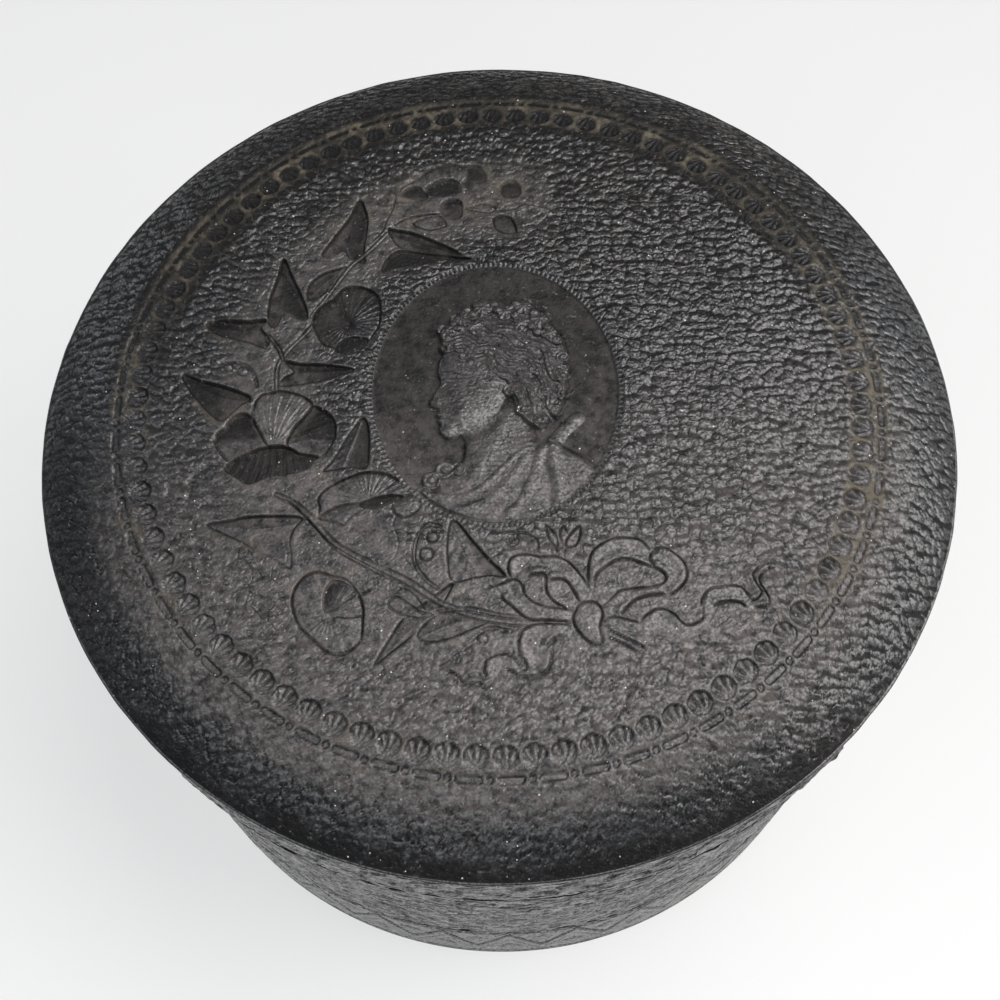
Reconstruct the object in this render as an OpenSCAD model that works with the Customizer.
// Round collar box: a leather-covered pasteboard drum with a domed lift-off lid
// and a small lidded well for collar studs in the middle.
// Millimetres. The table is z = 0 and the drum's axis is the Z axis.

/* [Drum] */
// Outer diameter of the leather-covered wall
wall_d = 171.2; // [150:0.2:200]
// Height of the wall, from the table to its rolled top edge
wall_h = 105.7; // [80:0.1:130]
// Thickness of the wall's pasteboard
wall_board_t = 1.8; // [1.2:0.1:2.6]
// Thickness of the leather on the wall
wall_leather_t = 0.8; // [0.5:0.1:1.2]
// Thickness of the wall's lining
wall_lining_t = 0.5; // [0.3:0.1:1]
// Height of the embossed band round the foot
foot_band_h = 32; // [20:1:45]
// Thickness of the embossed band round the foot
foot_band_t = 1; // [0.9:0.1:1.4]
// Thickness of the pasteboard base
base_board_t = 2; // [1.5:0.1:3]
// Thickness of the cloth under the base
base_cloth_t = 0.5; // [0.3:0.1:1]

/* [Lid] */
// How far the lid's rim comes down over the wall
rim_depth = 17; // [12:0.5:26]
// Gap all round between the wall and the lid's rim
rim_clearance = 0.4; // [0.2:0.1:0.8]
// Gap between the wall's top edge and the lid's board
seat_gap = 0.3; // [0.2:0.1:0.6]
// Thickness of the lining strip in the rim
rim_lining_t = 0.3; // [0.2:0.1:0.6]
// Thickness of the rim's pasteboard
rim_board_t = 1; // [0.8:0.1:2]
// Thickness of the rim's leather
rim_leather_t = 0.7; // [0.5:0.1:1.2]
// Thickness of the lid's pasteboard disc
lid_board_t = 2; // [1.5:0.1:3]
// Thickness of the leather over the top
top_leather_t = 1.4; // [1.2:0.1:2]
// Width of the rounded shoulder
shoulder_w = 24; // [18:0.5:32]
// Drop of the rounded shoulder
shoulder_h = 9; // [6:0.5:12]
// Rise of the crown above the shoulder
crown_h = 2.5; // [1:0.5:6]
// Height of the folded welt between the top and the rim
welt_h = 0.8; // [0.5:0.1:1.5]
// How far the welt stands out from the rim
welt_out = 0.4; // [0.2:0.1:0.8]

/* [Embossing] */
// Radius of the middle of the stamped border
border_r = 70; // [60:0.5:72]
// Width of the stamped border
border_w = 7; // [4:0.5:8]
// Depth of the stamping
stamp_depth = 0.5; // [0.2:0.1:0.8]
// Width of the oval medallion
medallion_w = 50; // [30:1:60]
// Length of the oval medallion
medallion_l = 58; // [30:1:64]
// Distance from the lid's centre back to the medallion's centre
medallion_back = 2; // [0:1:10]

/* [Pads] */
// Thickness of the card under each pad
pad_card_t = 1.5; // [1:0.1:2.5]
// Gap between a pad and the wall's lining
pad_gap = 0.5; // [0.3:0.1:2]
// Height of the floor pad at its crown
floor_pad_h = 5; // [3:0.5:8]
// Height of the lid's pad at its crown
lid_pad_h = 6; // [3:0.5:8]
// Radius of the covered button in the lid's pad
lid_button_r = 7; // [4:0.5:10]
// Height that the button in the lid's pad stands proud of its hollow
lid_button_h = 3; // [2:0.5:5]

/* [Stud well] */
// Outer diameter of the covered stud well
well_d = 51.2; // [40:0.2:60]
// Height of the stud well above the floor card
well_h = 40; // [25:1:48]
// Thickness of the well's card
well_card_t = 1.5; // [1:0.1:2.5]
// Thickness of the satin cover outside the well
well_cover_t = 0.6; // [0.4:0.1:1]
// Thickness of the well's lining
well_lining_t = 0.5; // [0.3:0.1:1]
// Gap between the well and its lid
well_clearance = 0.3; // [0.2:0.1:0.6]
// How far the stud lid comes down over the well
stud_rim_depth = 8; // [5:0.5:15]
// Height of the stud lid's pad at its crown
stud_pad_h = 6; // [3:0.5:9]
// Radius of the covered button that lifts the stud lid
stud_button_r = 5.5; // [3:0.5:8]
// Height of that button's head
stud_button_h = 4; // [3:0.5:6]

/* [Hidden] */
$fn = 96;

arc_steps = 10;      // straight steps in each quarter round
oval_steps = 72;     // sides of the medallion's outline
edge_round = 2.5;    // radius of the rounded edge of a pad
button_hollow = 2;   // depth that a button draws its pad in
button_slope = 9;    // width over which a pad slopes into its button

// drum, from outside to inside and from the table up
wall_r = wall_d / 2;
board_r = wall_r - wall_leather_t;
inner_r = board_r - wall_board_t;
lined_r = inner_r - wall_lining_t;
floor_z = base_cloth_t + base_board_t;
wall_board_top = wall_h - wall_leather_t;

// lid, from inside to outside and from the wall's top up
rim_in_r = wall_r + rim_clearance;
rim_board_in_r = rim_in_r + rim_lining_t;
rim_board_r = rim_board_in_r + rim_board_t;
lid_r = rim_board_r + rim_leather_t;
lid_board_z = wall_h + seat_gap;
lid_top_z = lid_board_z + lid_board_t;
rim_bottom_z = lid_board_z - rim_depth;
shoulder_in_r = lid_r - shoulder_w;
crown_z = lid_top_z + shoulder_h + crown_h;

// pads
pad_r = lined_r - pad_gap;
floor_pad_z = floor_z + pad_card_t;
lid_card_z = lid_board_z - pad_card_t;

// stud well and its lid
well_r = well_d / 2;
well_wall_r = well_r - well_cover_t;
well_in_r = well_wall_r - well_card_t;
well_lined_r = well_in_r - well_lining_t;
well_base_z = floor_pad_z;
well_top_z = well_base_z + well_h;
stud_rim_in_r = well_r + well_clearance;
stud_rim_r = stud_rim_in_r + well_card_t;
stud_lid_r = stud_rim_r + well_cover_t;
stud_lining_z = well_top_z + well_clearance;
stud_card_z = stud_lining_z + well_lining_t;
stud_pad_z = stud_card_z + well_card_t;
stud_rim_z = stud_card_z - stud_rim_depth;

// Points of an elliptical arc about (cx, cz), from angle a0 to a1
function arc_points(cx, cz, rx, rz, a0, a1) =
    [for (i = [0 : arc_steps])
        let (a = a0 + (a1 - a0) * i / arc_steps) [cx + rx * cos(a), cz + rz * sin(a)]];

// Height of the crown above the shoulder at radius r, a shallow bow that ends level
function crown_at(r, in_r) = crown_h * pow(1 - pow(r / in_r, 2), 2);

// Height of the soft shoulder at u, which runs from 0 where it starts to 1 at the edge
function shoulder_at(u) = 1 - pow(u, 2);

// Outline of the lid's top from its edge up to the axis, drawn inward by t
function top_outline(t) = concat(
    [for (i = [arc_steps : -1 : 0])
        let (u = i / arc_steps)
        [shoulder_in_r + (shoulder_w - t) * u, lid_top_z + (shoulder_h - t) * shoulder_at(u)]],
    [for (i = [arc_steps - 1 : -1 : 0])
        let (r = shoulder_in_r * i / arc_steps)
        [r, lid_top_z + shoulder_h - t + crown_at(r, shoulder_in_r)]]);

// A ring with a rectangular section
module ring(r_in, r_out, z0, z1) {
    rotate_extrude() translate([r_in, z0]) square([r_out - r_in, z1 - z0]);
}

// A plain disc
module disc(r, z0, z1) {
    translate([0, 0, z0]) cylinder(r = r, h = z1 - z0);
}

// A pad with a flat back at height 0 and a rounded edge: it rises by h at the crown,
// and slopes down to a hollow of radius hollow_r if that is above 0
module pad(r_in, r_out, h, hollow_r) {
    slope = hollow_r > 0 ? button_slope : 0;
    inner = hollow_r > 0
        ? [[0, 0], [0, h - button_hollow], [hollow_r, h - button_hollow],
           [hollow_r + slope, h]]
        : concat([[r_in, 0]],
            arc_points(r_in + edge_round, h - edge_round, edge_round, edge_round, 180, 90));
    rotate_extrude() polygon(concat(inner,
        arc_points(r_out - edge_round, h - edge_round, edge_round, edge_round, 90, 0),
        [[r_out, 0]]));
}

// A covered button: a domed head with its back at height 0
module button(r, h) {
    rotate_extrude() polygon(concat([[0, 0]], arc_points(0, 0, r, h, 0, 90)));
}

module base_cloth() { color("#15140f") disc(board_r, 0, base_cloth_t); }

module base_board() { color("#a08a62") disc(inner_r, base_cloth_t, floor_z); }

module wall_board() {
    color("#a08a62") ring(inner_r, board_r, base_cloth_t, wall_board_top);
}

// The wall's leather, turned over the top edge of the board and its lining
module wall_leather() {
    color("#24242a") {
        ring(board_r, wall_r, foot_band_h, wall_board_top);
        rotate_extrude() polygon(concat(
            [[lined_r, wall_board_top]],
            arc_points(lined_r + wall_leather_t, wall_board_top,
                       wall_leather_t, wall_leather_t, 180, 90),
            arc_points(wall_r - wall_leather_t, wall_board_top,
                       wall_leather_t, wall_leather_t, 90, 0)));
    }
}

// The embossed band, glued on below the wall's leather down to the table
module foot_band() {
    color("#24242a") ring(board_r, board_r + foot_band_t, 0, foot_band_h);
}

module wall_lining() { color("#c0ac84") ring(lined_r, inner_r, floor_z, wall_board_top); }

module floor_card() { color("#a08a62") disc(pad_r, floor_z, floor_pad_z); }

module floor_pad() {
    color("#cdb98f") translate([0, 0, floor_pad_z])
        pad(well_r + pad_gap, pad_r, floor_pad_h, 0);
}

module well_floor() {
    color("#a08a62") disc(well_in_r, well_base_z, well_base_z + well_card_t);
}

module well_wall() { color("#a08a62") ring(well_in_r, well_wall_r, well_base_z, well_top_z); }

module well_cover() { color("#cdb98f") ring(well_wall_r, well_r, well_base_z, well_top_z); }

module well_lining() {
    color("#c0ac84") ring(well_lined_r, well_in_r, well_base_z + well_card_t, well_top_z);
}

module lid_rim_board() {
    color("#a08a62") ring(rim_board_in_r, rim_board_r, rim_bottom_z + rim_leather_t, lid_board_z);
}

// The rim's leather, turned in under the board's lower edge
module lid_rim_leather() {
    color("#24242a") {
        ring(rim_board_r, lid_r, rim_bottom_z, lid_top_z - welt_h);
        ring(rim_in_r, rim_board_r, rim_bottom_z, rim_bottom_z + rim_leather_t);
    }
}

module lid_rim_lining() {
    color("#c0ac84") ring(rim_in_r, rim_board_in_r, rim_bottom_z + rim_leather_t, lid_board_z);
}

module lid_board() { color("#a08a62") disc(rim_board_r, lid_board_z, lid_top_z); }

module lid_wadding() {
    color("#d8cfb8") rotate_extrude()
        polygon(concat([[0, lid_top_z]], top_outline(top_leather_t)));
}

module oval(w, l) {
    polygon([for (i = [0 : oval_steps - 1])
        let (a = 360 * i / oval_steps) [w / 2 * cos(a), l / 2 * sin(a)]]);
}

// The outer skin of the top, as deep as the stamping goes
module stamped_skin() {
    rotate_extrude() difference() {
        polygon(concat([[0, lid_top_z]], top_outline(0)));
        polygon(concat([[0, lid_top_z - 1]], [[lid_r + 1, lid_top_z - 1]],
                       top_outline(stamp_depth)));
    }
}

// The leather over the top, with the stamped border and the medallion's oval sunk in it
module lid_top_leather() {
    color("#24242a") difference() {
        rotate_extrude() difference() {
            polygon(concat([[0, lid_top_z]], top_outline(0)));
            polygon(concat([[0, lid_top_z]], top_outline(top_leather_t)));
        }
        intersection() {
            stamped_skin();
            translate([0, 0, lid_top_z]) union() {
                ring(border_r - border_w / 2, border_r + border_w / 2, 0, crown_z);
                translate([0, medallion_back, 0])
                    linear_extrude(crown_z) oval(medallion_w, medallion_l);
            }
        }
    }
}

// The folded edge between the top and the rim, with a round nose
module lid_welt() {
    nose = welt_h / 2;
    color("#24242a") rotate_extrude() polygon(concat(
        [[rim_board_r, lid_top_z], [rim_board_r, lid_top_z - welt_h]],
        arc_points(lid_r + welt_out - nose, lid_top_z - nose, nose, nose, -90, 90)));
}

module lid_pad_card() { color("#a08a62") disc(pad_r, lid_card_z, lid_board_z); }

module lid_pad() {
    color("#cdb98f") translate([0, 0, lid_card_z]) mirror([0, 0, 1])
        pad(0, pad_r, lid_pad_h, lid_button_r);
}

module lid_pad_button() {
    color("#c0ac84") translate([0, 0, lid_card_z - lid_pad_h + button_hollow])
        mirror([0, 0, 1]) button(lid_button_r, lid_button_h);
}

module stud_lid_rim() { color("#a08a62") ring(stud_rim_in_r, stud_rim_r, stud_rim_z, stud_card_z); }

module stud_lid_cover() {
    color("#cdb98f") ring(stud_rim_r, stud_lid_r, stud_rim_z, stud_pad_z);
}

module stud_lid_card() { color("#a08a62") disc(stud_rim_r, stud_card_z, stud_pad_z); }

module stud_lid_lining() { color("#c0ac84") disc(stud_rim_in_r, stud_lining_z, stud_card_z); }

module stud_lid_pad() {
    color("#cdb98f") translate([0, 0, stud_pad_z]) pad(0, stud_lid_r, stud_pad_h, stud_button_r);
}

module stud_lid_button() {
    color("#c0ac84") translate([0, 0, stud_pad_z + stud_pad_h - button_hollow])
        button(stud_button_r, stud_button_h);
}

base_cloth();
base_board();
wall_board();
wall_leather();
foot_band();
wall_lining();
floor_card();
floor_pad();
well_floor();
well_wall();
well_cover();
well_lining();
lid_rim_board();
lid_rim_leather();
lid_rim_lining();
lid_board();
lid_wadding();
lid_top_leather();
lid_welt();
lid_pad_card();
lid_pad();
lid_pad_button();
stud_lid_rim();
stud_lid_cover();
stud_lid_card();
stud_lid_lining();
stud_lid_pad();
stud_lid_button();
